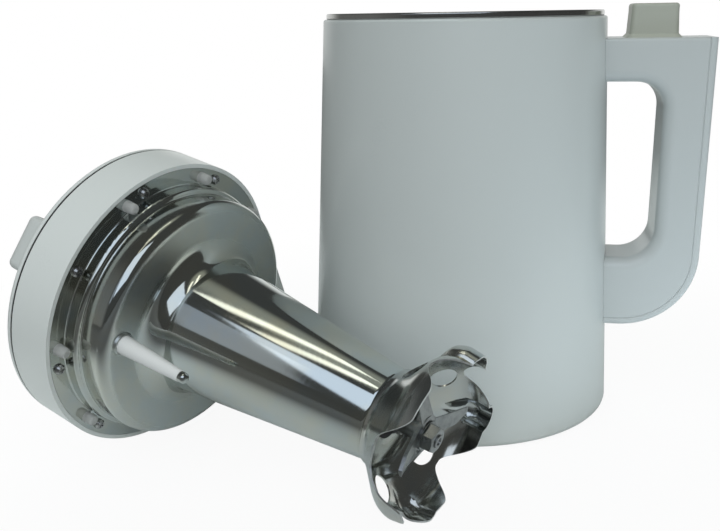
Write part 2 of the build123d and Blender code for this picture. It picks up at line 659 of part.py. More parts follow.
# Level electrode: collar on the drum face, tapered sleeve and steel tip
face_z = -DRUM_DROP
collar = turned([
    (SLEEVE_BASE_R + FIT, face_z, 0),
    (COLLAR_R, face_z, 0),
    (COLLAR_R - 0.5, face_z - 1.4, 0.4),
    (SLEEVE_BASE_R + FIT, face_z - 1.4, 0),
])
head["electrode_collar"] = ring_of(collar, ELECTRODE_R, [ELECTRODE_ANGLE])[0]
tip_z = face_z - ELECTRODE_L
sleeve_end = tip_z + 4.0
spike = turned([
    (1.6, face_z + 8.0, 0),
    (1.6, sleeve_end, 0),
    (SLEEVE_END_R, sleeve_end, 0.3),
    (SLEEVE_BASE_R, face_z, 0),
    (stem_r, face_z, 0),
    (stem_r, face_z + 8.0, 0),
])
head["electrode_sleeve"] = ring_of(spike, ELECTRODE_R, [ELECTRODE_ANGLE])[0]
tip = turned([
    (0, tip_z, 0),
    (SLEEVE_END_R - 0.2, tip_z, 2.2),
    (SLEEVE_END_R - 0.2, sleeve_end, 0),
    (1.5, sleeve_end, 0),
    (1.5, face_z + 10.0, 0),
    (0, face_z + 10.0, 0),
])
head["electrode_tip"] = ring_of(tip, ELECTRODE_R, [ELECTRODE_ANGLE])[0]

# Blade guard: bowl of thin sheet, cut into lobes, with round holes and pressed flutes
plate_z = -TUBE_DROP
guard_z = plate_z - GUARD_H
notch_z = plate_z - NOTCH_H
bowl_path = [
    (SEAL_R + 1.0, plate_z - SHEET, 0),
    (TUBE_END_R + 1.5, plate_z - SHEET, 2.0),
    (TUBE_END_R + 10.0, plate_z - 5.5, 8.0),
    (GUARD_MAX_R - 0.2, plate_z - 17.0, 12.0),
    (GUARD_MAX_R - 0.5, plate_z - 23.0, 14.0),
    (GUARD_RIM_R, guard_z, 0),
]
bowl = turned(sheet_outline(bowl_path, SHEET))
hollow = turned([(0, plate_z - SHEET, 0)] + bowl_path[1:] + [(0, guard_z, 0)])
flute_line = ThreePointArc(
    (GUARD_MAX_R - FLUTE_SINK - 7.4, plate_z - 9.0),
    (GUARD_MAX_R - FLUTE_SINK, plate_z - 19.0),
    (GUARD_MAX_R - FLUTE_SINK - 1.8, guard_z - 1.5),
)
flute_axis = Plane.XZ * flute_line


def flute_bar(r):
    plane = Plane(origin=flute_axis @ 0, z_dir=flute_axis % 0)
    return sweep(plane * Circle(r), path=flute_axis)


lobe_angles = [LOBE_PHASE + 360 / LOBES * k for k in range(LOBES)]
notch_angles = [a + 180 / LOBES for a in lobe_angles]
bar_out, bar_in = flute_bar(FLUTE_R), flute_bar(FLUTE_R - SHEET)
below = Pos(0, 0, guard_z) * Box(200, 200, 20, align=(Align.CENTER, Align.CENTER, Align.MAX))
rib = bar_out - bar_in - hollow - below
guard = bowl
for a in lobe_angles:
    guard -= Rot(0, 0, a) * bar_in
for a in lobe_angles:
    guard += Rot(0, 0, a) * rib
notch = make_face(path([
    (-30, guard_z - 20, 0),
    (-30, guard_z - 2.8, 0),
    (-NOTCH_W / 2, guard_z + 2.2, 8.0),
    (-NOTCH_W / 2 + 10.0, notch_z, 6.5),
    (NOTCH_W / 2 - 10.0, notch_z, 6.5),
    (NOTCH_W / 2, guard_z + 2.2, 8.0),
    (30, guard_z - 2.8, 0),
    (30, guard_z - 20, 0),
]))
notch_cut = extrude(Plane(origin=(15, 0, 0), x_dir=(0, 1, 0), z_dir=(1, 0, 0)) * notch, 50)
hole_cut = Pos(TUBE_END_R + 11.5, 0, plate_z - 7.7) * Rot(0, 60, 0) * Cylinder(GUARD_HOLE_R, 14)
for a in notch_angles:
    guard -= Rot(0, 0, a) * notch_cut
    guard -= Rot(0, 0, a) * hole_cut
for hole in ring_of(rod(1.2 + FIT, plate_z - 3, plate_z + 2), guard_screw_r, guard_screw_angles):
    guard -= hole
head["blade_guard"] = guard
guard_screw = pan_screw(2.2, 1.5, 1.2, 6.0)
guard_screws = ring_of(guard_screw, guard_screw_r, guard_screw_angles, plate_z - SHEET)
head["guard_screws"] = Compound(children=guard_screws)

# Drive: motor in the drum, long shaft through the tube, bearings and seal
frame_z = face_z + SHEET
stator_z = frame_z + 6.0
frame_top = stator_z + ROTOR_H + 4.2
frame_r = TUBE_TOP_R + TUBE_FILLET + 5.0
can = turned([
    (TUBE_TOP_R - 10, frame_z, 0),
    (frame_r, frame_z, 0),
    (frame_r, frame_z + 2.0, 0),
    (STATOR_R + FIT + 2.5, frame_z + 2.0, 1.0),
    (STATOR_R + FIT + 2.5, frame_top, 0),
    (STATOR_R + FIT, frame_top, 0),
    (STATOR_R + FIT, stator_z, 0),
    (STATOR_R - 3, stator_z, 0),
    (STATOR_R - 3, frame_z + 2.0, 0),
    (TUBE_TOP_R - 10, frame_z + 2.0, 0),
])
can -= ring_of(rod(COLLAR_R + 1.5, frame_z - 1, frame_z + 4), ELECTRODE_R, [ELECTRODE_ANGLE])[0]
head["motor_frame"] = can
core = rod(STATOR_R, stator_z, stator_z + ROTOR_H)
core -= rod(ROTOR_R + AIR_GAP, stator_z - 1, stator_z + ROTOR_H + 1)
for a in range(0, 360, 60):
    slot = Pos(ROTOR_R + 8, 0, stator_z + ROTOR_H / 2) * Box(12, 5, ROTOR_H + 2)
    core -= Rot(0, 0, a) * slot
head["motor_stator"] = core
coil = Pos(ROTOR_R + 8, 0, stator_z + ROTOR_H / 2) * Box(12 - 2 * FIT, 5 - 2 * FIT, ROTOR_H + 8)
coil = fillet(coil.edges().filter_by(Axis.Y), 2.5)
head["stator_coils"] = Compound(children=[Rot(0, 0, a) * coil for a in range(0, 360, 60)])
bearing_z = frame_top + 2.0
cap_plate = turned([
    (SHAFT_R + 1.5, frame_top, 0),
    (STATOR_R + FIT + 2.5, frame_top, 0),
    (STATOR_R + FIT + 2.5, frame_top + 2.0, 0.8),
    (BEARING_R + FIT + 2.0, frame_top + 2.0, 0),
    (BEARING_R + FIT + 2.0, bearing_z + BEARING_H, 0.8),
    (BEARING_R + FIT, bearing_z + BEARING_H, 0),
    (BEARING_R + FIT, bearing_z, 0),
    (SHAFT_R + 1.5, bearing_z, 0),
])
head["motor_cap"] = cap_plate
race = rod(BEARING_R, 0, BEARING_H) - rod(SHAFT_R + RUN, -1, BEARING_H + 1)
groove = turned([(5.6, -1, 0), (7.4, -1, 0), (7.4, 0.5, 0), (5.6, 0.5, 0)])
race = race - groove - Pos(0, 0, BEARING_H) * Rot(180, 0, 0) * groove
head["upper_bearing"] = Pos(0, 0, bearing_z) * race
end_z = plate_z + SHEET
tube_slope = (TUBE_TOP_R - TUBE_END_R) / (TUBE_DROP - DRUM_DROP)
carrier_h = 18.0
carrier_r = TUBE_END_R - SHEET - 0.6
lower_z = end_z + carrier_h - BEARING_H
carrier = turned([
    (SEAL_R + 1.0, end_z, 0),
    (carrier_r - 2.6, end_z, 0),
    (carrier_r, end_z + 2.6, 0),
    (carrier_r + tube_slope * (carrier_h - 2.6), end_z + carrier_h, 0),
    (BEARING_R + FIT, end_z + carrier_h, 0),
    (BEARING_R + FIT, lower_z, 0),
    (SHAFT_R + 1.5, lower_z, 0),
    (SHAFT_R + 1.5, lower_z - 2.0, 0),
    (SEAL_R + 1.0, lower_z - 2.0, 0),
])
for hole in ring_of(rod(1.2 + FIT, end_z - 1, end_z + 8), guard_screw_r, guard_screw_angles):
    carrier -= hole
head["bearing_carrier"] = carrier
head["lower_bearing"] = Pos(0, 0, lower_z) * race
seal = turned([
    (SHAFT_R + RUN, plate_z - 5.0, 0),
    (SHAFT_R + 1.6, plate_z - 5.0, 0.5),
    (SEAL_R - 1.2, plate_z - SHEET - 0.6, 0),
    (SEAL_R + 0.7, plate_z - SHEET - 0.6, 0),
    (SEAL_R + 0.7, plate_z, 0),
    (SEAL_R - FIT, plate_z, 0),
    (SEAL_R - FIT, lower_z - 2.5, 0),
    (SHAFT_R + RUN, lower_z - 2.5, 0),
])
head["shaft_seal"] = seal

blade_z = plate_z - BLADE_H
nut_z = blade_z - BLADE_T - WASHER_T
axle = turned([
    (0, nut_z - NUT_H + 1.0, 0),
    (1.4, nut_z - NUT_H + 0.2, 0),
    (1.8, nut_z - NUT_H - 0.8, 0),
    (STUD_R, nut_z - NUT_H - 0.8, 0.5),
    (STUD_R, blade_z, 0),
    (SHAFT_R, blade_z, 0),
    (SHAFT_R, bearing_z + BEARING_H + 2, 0.6),
    (0, bearing_z + BEARING_H + 2, 0),
])
head["shaft"] = axle
lam = rod(ROTOR_R, stator_z, stator_z + ROTOR_H)
lam -= rod(SHAFT_R + FIT / 3, stator_z - 1, stator_z + ROTOR_H + 1)
for a in range(0, 360, 30):
    lam -= Rot(0, 0, a) * Pos(ROTOR_R - 3, 0, stator_z + ROTOR_H / 2) * Cylinder(1.2, ROTOR_H + 2)
head["rotor_core"] = lam

# Four-winged blade: two wings tipped up, two tipped down, each ground to an edge
wing = extrude(region([
    (-5.0, -6, 0),
    (5.0, -6, 0),
    (3.2, BLADE_R - 8, 0.8),
    (0.2, BLADE_R - 8, 1.5),
    (-4.0, BLADE_R - 14, 3.0),
]), BLADE_T)
grind = Box(8, 60, 2.2, align=(Align.MIN, Align.CENTER, Align.MIN))
wing -= Pos(1.6, BLADE_R / 2 - 4, BLADE_T) * Rot(0, 0, 4.5) * Rot(0, 25, 0) * grind
blade = rod(9.0, 0, BLADE_T)
for k in range(4):
    lift = 24 if k % 2 == 0 else -16
    blade += Rot(0, 0, BLADE_PHASE + 90 * k) * Pos(0, 8.0, 0) * Rot(lift, 0, 0) * wing
blade -= rod(STUD_R + FIT / 3, -10, 10)
blade -= rod(7.5, -40, 0)
blade -= rod(7.5, BLADE_T, 40)
head["blade"] = Pos(0, 0, blade_z - BLADE_T) * blade
head["blade_washer"] = rod(6.8, nut_z, nut_z + WASHER_T) - rod(STUD_R + FIT, nut_z - 1, nut_z + 3)
hexagon = extrude(RegularPolygon(NUT_AF / 2, 6, major_radius=False), NUT_H)
hexagon = hexagon & turned([
    (0, 0, 0),
    (NUT_AF / 2 - 0.2, 0, 0),
    (NUT_AF / 2 + 1.1, 0.8, 0),
    (NUT_AF / 2 + 1.1, NUT_H, 0),
    (0, NUT_H, 0),
])
hexagon -= rod(STUD_R + FIT / 3, -1, NUT_H + 1)
head["blade_nut"] = Pos(0, 0, nut_z - NUT_H) * hexagon

# The head rests on the straight flank of its lid and on a lobe of the guard
flank = math.degrees(math.acos((LID_R - BEAK_R) / BEAK_X))


def lying(tilt):
    """Placement of the head for a downward tilt of its axis, lid edge on the table."""
    yaw, t = math.radians(HEAD_YAW), math.radians(tilt)
    axis = Vector(math.cos(t) * math.cos(yaw), math.cos(t) * math.sin(yaw), -math.sin(t))
    up = (Vector(0, 0, 1) - axis * axis.Z).normalized()
    side = axis.cross(up)
    roll = math.radians(flank - 180)
    beak = side * math.sin(roll) + up * math.cos(roll)
    foot = Vector(HEAD_X, HEAD_Y, LID_R * math.cos(t))
    return Plane(origin=foot, x_dir=beak, z_dir=axis * -1).location


low, high = 5.0, 20.0
for step in range(14):
    trial = (low + high) / 2
    if (lying(trial) * guard).bounding_box().min.Z > 0:
        low = trial
    else:
        high = trial
HEAD_TILT = low
rest = lying(HEAD_TILT)
for name, shape in head.items():
    parts[name] = rest * shape

os.makedirs("parts", exist_ok=True)
for name, shape in parts.items():
    export_step(shape, "parts/%s.step" % name)
print("head tilt", round(HEAD_TILT, 3), "flank", round(flank, 3), "parts", len(parts))
print("origin", rest.position, "axis", (Plane(rest).z_dir * -1))
print("levels", "button", round(button_top, 2), "cover", cover_top, "blade", blade_z, "nut", round(nut_z, 2))
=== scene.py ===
import json
import math

import bpy
from mathutils import Matrix, Vector


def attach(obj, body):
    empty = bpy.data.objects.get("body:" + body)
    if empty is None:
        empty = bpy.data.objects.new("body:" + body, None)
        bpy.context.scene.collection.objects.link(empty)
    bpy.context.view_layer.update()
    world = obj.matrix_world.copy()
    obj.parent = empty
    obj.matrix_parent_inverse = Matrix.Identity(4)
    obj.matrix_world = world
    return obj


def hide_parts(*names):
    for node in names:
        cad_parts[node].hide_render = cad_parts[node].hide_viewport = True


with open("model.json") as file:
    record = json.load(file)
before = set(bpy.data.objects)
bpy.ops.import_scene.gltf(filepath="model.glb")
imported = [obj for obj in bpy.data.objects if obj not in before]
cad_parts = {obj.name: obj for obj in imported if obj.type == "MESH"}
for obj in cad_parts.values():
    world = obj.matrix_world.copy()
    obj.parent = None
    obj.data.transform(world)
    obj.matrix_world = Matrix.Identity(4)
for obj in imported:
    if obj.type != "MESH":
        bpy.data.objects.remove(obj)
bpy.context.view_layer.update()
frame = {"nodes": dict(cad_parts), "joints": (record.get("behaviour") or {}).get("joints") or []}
nodes = frame["nodes"]

# The lying head: its blade axis, and the beak direction of its lid, as in the solids (millimetres)
lid_radius, beak_radius, beak_reach = 75.0, 19.5, 111.2
spin = next(j for j in frame["joints"] if j["name"] == "blade_spin")
head_foot = Vector(spin["pos_m"])
head_down = Vector(spin["axis"]).normalized()
head_top = -head_down
level_up = (Vector((0, 0, 1)) - head_down * head_down.z).normalized()
beak_roll = math.acos((lid_radius - beak_radius) / beak_reach) - math.pi
beak_dir = head_down.cross(level_up) * math.sin(beak_roll) + level_up * math.cos(beak_roll)
beak_dir = (beak_dir - head_top * beak_dir.dot(head_top)).normalized()
head_side = head_top.cross(beak_dir)
head_axes = Matrix((beak_dir, head_side, head_top)).transposed()
head_turn = head_axes.to_euler()
head_place = Matrix.Translation(head_foot) @ head_axes.to_4x4()


class Val:
    """A number that varies over a surface, kept as a socket of a finish."""

    def __init__(self, finish, socket):
        self.finish = finish
        self.socket = socket

    def sum(self, kind, a, b=None, clamp=False):
        inputs = {0: a} if b is None else {0: a, 1: b}
        made = self.finish.node("ShaderNodeMath", {"operation": kind, "use_clamp": clamp}, inputs)
        return made["Value"]

    def __add__(self, other):
        return self.sum("ADD", self, other)

    def __radd__(self, other):
        return self.sum("ADD", other, self)

    def __sub__(self, other):
        return self.sum("SUBTRACT", self, other)

    def __rsub__(self, other):
        return self.sum("SUBTRACT", other, self)

    def __mul__(self, other):
        return self.sum("MULTIPLY", self, other)

    def __rmul__(self, other):
        return self.sum("MULTIPLY", other, self)

    def __pow__(self, other):
        return self.sum("POWER", self, other)

    def high(self, other):
        return self.sum("MAXIMUM", self, other)

    def size(self):
        return self.sum("ABSOLUTE", self)

    def held(self):
        return self.sum("ADD", self, 0.0, clamp=True)


class Made:
    """A shader node: its outputs by name or number."""

    def __init__(self, finish, node):
        self.finish = finish
        self.outputs = node.outputs

    def __getitem__(self, key):
        return Val(self.finish, self.outputs[key])


class Nodes:
    """A node tree that is written from left to right."""

    def __init__(self, tree, end):
        self.tree = tree
        self.tree.nodes.clear()
        self.end = self.tree.nodes.new(end)

    def node(self, kind, settings=None, inputs=None):
        made = self.tree.nodes.new(kind)
        for key, value in (settings or {}).items():
            setattr(made, key, value)
        for key, value in (inputs or {}).items():
            socket = made.inputs[key]
            if isinstance(value, Val):
                self.tree.links.new(value.socket, socket)
            elif socket.type == "RGBA" and len(value) == 3:
                socket.default_value = (*value, 1)
            else:
                socket.default_value = value
        return Made(self, made)

    def close(self, shader):
        self.tree.links.new(shader.socket, self.end.inputs["Surface"])

    def mix(self, part, first, second):
        """Colour between two colours."""
        return self.node("ShaderNodeMix", {"data_type": "RGBA"}, {0: part, 6: first, 7: second})[2]

    def blend(self, part, first, second):
        """Shader between two shaders."""
        return self.node("ShaderNodeMixShader", None, {0: part, 1: first, 2: second})["Shader"]

    def parts_of(self, vector):
        made = self.node("ShaderNodeSeparateXYZ", None, {0: vector})
        return made["X"], made["Y"], made["Z"]

    def step(self, value, low, high):
        """0 below low, 1 above high, smooth between."""
        inputs = {"Value": value, "From Min": low, "From Max": high}
        return self.node("ShaderNodeMapRange", {"interpolation_type": "SMOOTHSTEP"}, inputs)["Result"]

    def between(self, value, low, high, soft):
        return self.step(value, low - soft, low + soft) * (1 - self.step(value, high - soft, high + soft))


class Finish(Nodes):
    """One material, built up from nodes."""

    def __init__(self, name):
        self.material = bpy.data.materials.new(name)
        self.material.use_nodes = True
        super().__init__(self.material.node_tree, "ShaderNodeOutputMaterial")

    def place(self):
        """Object coordinates, in metres of the shared frame."""
        return self.node("ShaderNodeTexCoord")["Object"]

    def mapped(self, scale=(1, 1, 1), turn=(0, 0, 0), centre=(0, 0, 0)):
        inputs = {"Vector": self.place(), "Location": centre, "Rotation": turn}
        spot = self.node("ShaderNodeMapping", {"vector_type": "TEXTURE"}, inputs)["Vector"]
        return self.node("ShaderNodeVectorMath", {"operation": "MULTIPLY"}, {0: spot, 1: scale})["Vector"]

    def head_space(self, scale=(1, 1, 1)):
        """Coordinates of the lying head: x to the beak, z up out of its lid."""
        return self.mapped(scale, tuple(head_turn), tuple(head_foot))

    def vector(self, x, y, z):
        return self.node("ShaderNodeCombineXYZ", None, {"X": x, "Y": y, "Z": z})["Vector"]

    def noise(self, vector, scale, detail=3.0, rough=0.55):
        inputs = {"Vector": vector, "Scale": scale, "Detail": detail, "Roughness": rough}
        return self.node("ShaderNodeTexNoise", None, inputs)["Fac"]

    def bump(self, height, strength, distance):
        inputs = {"Height": height, "Strength": strength, "Distance": distance}
        return self.node("ShaderNodeBump", None, inputs)["Normal"]

    def surface(self, **inputs):
        names = {"colour": "Base Color", "rough": "Roughness", "metal": "Metallic", "normal": "Normal",
                 "coat": "Coat Weight", "coat_rough": "Coat Roughness", "clear": "Transmission Weight"}
        sockets = {names[key]: value for key, value in inputs.items()}
        self.close(self.node("ShaderNodeBsdfPrincipled", None, sockets)["BSDF"])
        return self.material


def moulded_plastic(name, colour, rough, coat, foot_dirt=False, bands=False, core=None):
    """Moulded housing plastic: fine grain, slow colour drift, faint handling marks."""
    f = Finish(name)
    place = f.place()
    drift = f.noise(place, 22.0, 2.0)
    grain = f.noise(place, 2600.0, 2.0)
    scuff = f.step(f.noise(f.mapped((140, 140, 900), (0.3, 0.5, 0.2)), 1.0, 4.0, 0.7), 0.66, 0.8)
    tone = (drift - 0.5) * 0.07
    if bands:
        tone = tone + (f.noise(f.mapped((55, 55, 1.2)), 1.0, 2.0, 0.4) - 0.5) * 0.11
    shade = tone + 0.5
    dark = tuple(c * 0.90 for c in colour)
    light = tuple(min(1.0, c * 1.07) for c in colour)
    paint = f.mix(shade.held(), dark, light)
    if foot_dirt:
        x, y, z = f.parts_of(place)
        grime = (1 - f.step(z, 0.001, 0.012)) * f.noise(place, 180.0, 4.0) * 0.35
        paint = f.mix(grime.held(), paint, (0.30, 0.29, 0.26))
    if core:
        # The skin covers the top and the two ends of the grip
        x, y, z = f.parts_of(f.head_space())
        skin = f.step(z, 0.0547, 0.0553).high(f.step(x.size(), 0.0560, 0.0566))
        paint = f.mix(skin, core, paint)
    normal = f.bump(grain, 0.10, 0.00012)
    wear = (rough + (drift - 0.5) * 0.10 + scuff * 0.10 + (grain - 0.5) * 0.06).held()
    return f.surface(colour=paint, rough=wear, normal=normal, coat=coat, coat_rough=0.16)


def polished_steel(name, tone, rough, face_brush=False):
    """Polished stainless sheet: near mirror, with buffing lines round the head's axis and soft smudges."""
    f = Finish(name)
    x, y, z = f.parts_of(f.head_space())
    radius = (x * x + y * y) ** 0.5
    place = f.place()
    smudge = f.noise(place, 38.0, 5.0, 0.6)
    lines = f.noise(f.vector(radius * 2600.0, x * 20.0, z * 2600.0), 1.0, 2.0)
    speck = f.step(f.noise(place, 900.0, 3.0, 0.7), 0.68, 0.78)
    polish = rough + (smudge - 0.5) * 0.09 + (lines - 0.5) * 0.05 + speck * 0.05
    heights = lines * 0.6 + smudge * 0.1
    if face_brush:
        face = f.between(z, -0.0255, -0.0215, 0.0012) * f.between(radius, 0.043, 0.0585, 0.003)
        rings = f.noise(f.vector(radius * 5200.0, x * 30.0, y * 30.0), 1.0, 3.0, 0.7)
        polish = polish + face * (0.20 + rings * 0.16)
        heights = heights + face * rings * 2.2
    warm = tuple(c * k for c, k in zip(tone, (1.02, 0.99, 0.93)))
    cool = tuple(c * k for c, k in zip(tone, (0.94, 0.97, 1.0)))
    colour = f.mix(f.step(smudge, 0.35, 0.65), cool, warm)
    normal = f.bump(heights, 0.035, 0.0002)
    return f.surface(colour=colour, rough=polish.held(), metal=1.0, normal=normal)


def liner_steel(name):
    """The jug's inside: satin stainless, turned lines round the wall, brighter rolled rim."""
    f = Finish(name)
    place = f.place()
    x, y, z = f.parts_of(place)
    radius = (x * x + y * y) ** 0.5
    lines = f.noise(f.vector(radius * 900.0, x * 12.0, z * 3200.0), 1.0, 3.0, 0.7)
    stain = f.noise(place, 26.0, 5.0, 0.6)
    rim = f.step(z, 0.2115, 0.2135)
    rough = 0.30 + (lines - 0.5) * 0.16 + (stain - 0.5) * 0.12 - rim * 0.14
    colour = f.mix(f.step(stain, 0.4, 0.7), (0.55, 0.55, 0.54), (0.47, 0.465, 0.45))
    normal = f.bump(lines, 0.10, 0.0002)
    return f.surface(colour=colour, rough=rough.held(), metal=1.0, normal=normal)


def plain_metal(name, colour, rough, scale, metal=1.0):
    """Turned, cast or drawn metal of the small and hidden pieces."""
    f = Finish(name)
    place = f.place()
    cloud = f.noise(place, scale, 4.0, 0.6)
    fine = f.noise(place, scale * 14, 3.0)
    dark = tuple(c * 0.72 for c in colour)
    paint = f.mix(f.step(cloud, 0.3, 0.72), dark, colour)
    wear = rough + (cloud - 0.5) * 0.14 + (fine - 0.5) * 0.10
    return f.surface(colour=paint, rough=wear.held(), metal=metal, normal=f.bump(fine, 0.12, 0.0001))


def soft_rubber(name, colour, rough, clear=0.0):
    """Rubber or silicone: matt, with lint and a fine moulded skin."""
    f = Finish(name)
    place = f.place()
    cloud = f.noise(place, 160.0, 3.0)
    lint = f.step(f.noise(place, 1400.0, 2.0), 0.66, 0.74)
    paint = f.mix((cloud * 0.5 + lint * 0.3).held(), tuple(c * 0.88 for c in colour), colour)
    wear = rough + (cloud - 0.5) * 0.14
    return f.surface(colour=paint, rough=wear.held(), normal=f.bump(lint, 0.1, 0.0001), clear=clear)


def circuit_board(name):
    """Lacquered board with copper runs under the green."""
    f = Finish(name)
    inputs = {"Vector": f.head_space(), "Scale": 160.0, "Distortion": 6.0}
    wave = f.node("ShaderNodeTexWave", {"wave_type": "BANDS"}, inputs)
    track = f.step(wave["Fac"], 0.62, 0.7)
    paint = f.mix(track, (0.02, 0.13, 0.05), (0.06, 0.26, 0.10))
    return f.surface(colour=paint, rough=0.32, normal=f.bump(track, 0.2, 0.0001))


white = (0.55, 0.585, 0.575)
finishes = {
    "jug_white": moulded_plastic("jug_white", white, 0.30, 0.25, foot_dirt=True, bands=True),
    # Handle: the jug's white plastic made darker, as painted shade on the handle.
    "handle_white_painted_shade": moulded_plastic("handle_white_painted_shade", (0.485, 0.515, 0.51), 0.30, 0.25),
    # Lid: the same white plastic made lighter, as painted light on the lid.
    "lid_white_painted_light": moulded_plastic("lid_white_painted_light", (0.70, 0.73, 0.71), 0.30, 0.25),
    "grip_white": moulded_plastic("grip_white", (0.60, 0.625, 0.61), 0.30, 0.2, core=(0.10, 0.10, 0.10)),
    "ivory": moulded_plastic("ivory", (0.40, 0.415, 0.355), 0.42, 0.0),
    "sleeve_white": moulded_plastic("sleeve_white", (0.72, 0.73, 0.72), 0.32, 0.1),
    "black_trim": moulded_plastic("black_trim", (0.018, 0.018, 0.02), 0.36, 0.1),
    "head_steel": polished_steel("head_steel", (0.575, 0.60, 0.575), 0.085, face_brush=True),
    "guard_steel": polished_steel("guard_steel", (0.56, 0.575, 0.56), 0.15),
    # Rim faces of the guard: a paler metal, a painted highlight along the cut edges.
    "cut_edge_painted_highlight": plain_metal("cut_edge_painted_highlight", (0.82, 0.83, 0.82), 0.42, 300.0),
    "blade_steel": plain_metal("blade_steel", (0.36, 0.37, 0.37), 0.30, 240.0),
    "liner_steel": liner_steel("liner_steel"),
    "screw_steel": plain_metal("screw_steel", (0.52, 0.52, 0.51), 0.26, 300.0),
    "core_steel": plain_metal("core_steel", (0.40, 0.40, 0.41), 0.42, 120.0),
    "cast_aluminium": plain_metal("cast_aluminium", (0.66, 0.66, 0.66), 0.48, 90.0),
    "brass": plain_metal("brass", (0.70, 0.50, 0.22), 0.28, 260.0),
    "copper": plain_metal("copper", (0.62, 0.28, 0.14), 0.36, 300.0),
    "silicone": soft_rubber("silicone", (0.80, 0.81, 0.79), 0.42, clear=0.6),
    "black_rubber": soft_rubber("black_rubber", (0.035, 0.035, 0.035), 0.62),
    "board_green": circuit_board("board_green"),
    "red_lens": moulded_plastic("red_lens", (0.55, 0.05, 0.03), 0.12, 0.6),
}
worn_by = {
    "jug_white": ["jug_shell", "base_cover"],
    "handle_white_painted_shade": ["handle_body", "handle_spine"],
    "lid_white_painted_light": ["lid_band", "lid_cover", "button_1", "button_2", "button_3", "bearing_carrier"],
    "grip_white": ["lid_grip"],
    "ivory": ["coupler_tower", "coupler_cap", "coupler_socket"],
    "sleeve_white": ["electrode_sleeve"],
    "black_trim": ["lid_trim", "control_panel", "power_inlet", "thermostat", "coupler_leads",
                   "board_switches"],
    "head_steel": ["head_shell", "electrode_collar", "electrode_tip"],
    "guard_steel": ["blade_guard"],
    "blade_steel": ["blade", "blade_washer", "blade_nut", "shaft"],
    "liner_steel": ["jug_liner"],
    "screw_steel": ["flange_screws", "guard_screws", "base_screws", "handle_screws"],
    "core_steel": ["motor_stator", "rotor_core", "upper_bearing", "lower_bearing"],
    "cast_aluminium": ["heater_plate", "heater_element", "motor_frame", "motor_cap"],
    "brass": ["coupler_sleeves", "socket_contacts", "inlet_pins"],
    "copper": ["stator_coils"],
    "silicone": ["rest_pegs"],
    "black_rubber": ["feet", "shaft_seal"],
    "board_green": ["control_board"],
    "red_lens": ["indicator_lenses"],
}
for finish, names in worn_by.items():
    for name in names:
        nodes[name].data.materials.clear()
        nodes[name].data.materials.append(finishes[finish])


def smooth(value, low, high):
    """0 below low, 1 above high, smooth between."""
    part = min(1.0, max(0.0, (value - low) / (high - low)))
    return part * part * (3 - 2 * part)


# Blade guard: radii and drops below the lid flange, in metres; turns in degrees from the beak
guard_sheet = 0.0008
plate_bore, plate_rim, plate_drop = 0.0100, 0.0223, 0.1384
plate_share = 0.1
lobe_radius, lobe_tip = 0.0385, 0.1684
guard_bowl = ((0.1384, 0.0223), (0.1416, 0.0238), (0.1540, 0.0362), (0.1600, 0.0384), (0.1700, 0.0368))
# Turn, drop of the bottom and half width of the flat bottom of each notch
notches = ((-60, 0.1545, 0), (19, 0.1548, 0), (86, 0.1548, 0), (155, 0.1496, 0.0065), (232, 0.1545, 0))
# Turn and depth of each flute
flutes = ((-97, 0.0042), (-26, 0.0056), (66, 0.0026))
# The near lobe is short and stands out; the low lobe draws in
short_turn, short_by = 197, 0.0042
flare_turn, flare_out = 195, 0.0046
low_turn, low_in = 62, 0.0012
hole_size, hole_radius, hole_drop = 0.0063, 0.0298, 0.1476


def turn_apart(first, second):
    """Angle between two turns, in radians."""
    return abs(math.radians((first - second + 180) % 360 - 180))


def bowl_radius(drop):
    """Radius of the guard's bowl, its corners rounded by a short running mean."""
    total = 0
    for spot in [drop + step * 0.001 for step in (-2, -1, 0, 1, 2)]:
        spot = min(max(spot, guard_bowl[0][0]), guard_bowl[-1][0])
        for (d0, r0), (d1, r1) in zip(guard_bowl, guard_bowl[1:]):
            if d0 <= spot <= d1:
                total += r0 + (r1 - r0) * (spot - d0) / (d1 - d0)
                break
    return total / 5


def rim_drop(turn):
    """Lobed edge of the guard: a notch between each two lobes."""
    gaps = [(max(0, turn_apart(turn, notch) * lobe_radius - flat), depth) for notch, depth, flat in notches]
    off, floor = min(gaps)
    tip = lobe_tip - short_by * (1 - smooth(turn_apart(turn, short_turn), 0.45, 0.75))
    return floor + (tip - floor) * smooth(off, 0.001, 0.017)


def flute_bulge(turn, drop):
    """Pressed flute down the middle of a lobe, deeper and wider towards the edge."""
    half = 0.0020 + 0.0046 * smooth(drop, 0.1470, 0.158)
    bulge = 0.0
    for centre, depth in flutes:
        off = turn_apart(turn, centre) * lobe_radius / half
        if off < 1:
            bulge = depth * smooth(drop, 0.147, 0.156) * math.sqrt(1 - off * off)
    return bulge


def lobe_flare(turn, drop):
    """The near lobe stands straight out; the lowest lobe draws in, so that its flute just meets the floor."""
    out = flare_out * smooth(drop, 0.155, 0.170) * (1 - smooth(turn_apart(turn, flare_turn), 0.40, 0.80))
    back = low_in * smooth(drop, 0.150, 0.158) * (1 - smooth(turn_apart(turn, low_turn), 0.45, 0.85))
    return out - back


def guard_point(turn, run):
    """Point of the sheet's middle, from the plate's bore (run 0) to the lobed edge (run 1)."""
    drop = plate_drop
    if run < plate_share:
        radius = plate_bore + (plate_rim - plate_bore) * run / plate_share
    else:
        drop += (rim_drop(turn) - drop) * (run - plate_share) / (1 - plate_share)
        radius = bowl_radius(drop) + flute_bulge(turn, drop) + lobe_flare(turn, drop)
    angle = math.radians(turn)
    return head_place @ Vector((radius * math.cos(angle), radius * math.sin(angle), -drop))


def apply_modifier(piece, kind, **settings):
    """Add one modifier and make it part of the mesh."""
    modifier = piece.modifiers.new(kind, kind)
    for key, value in settings.items():
        setattr(modifier, key, value)
    bpy.context.view_layer.objects.active = piece
    bpy.ops.object.modifier_apply(modifier=modifier.name)


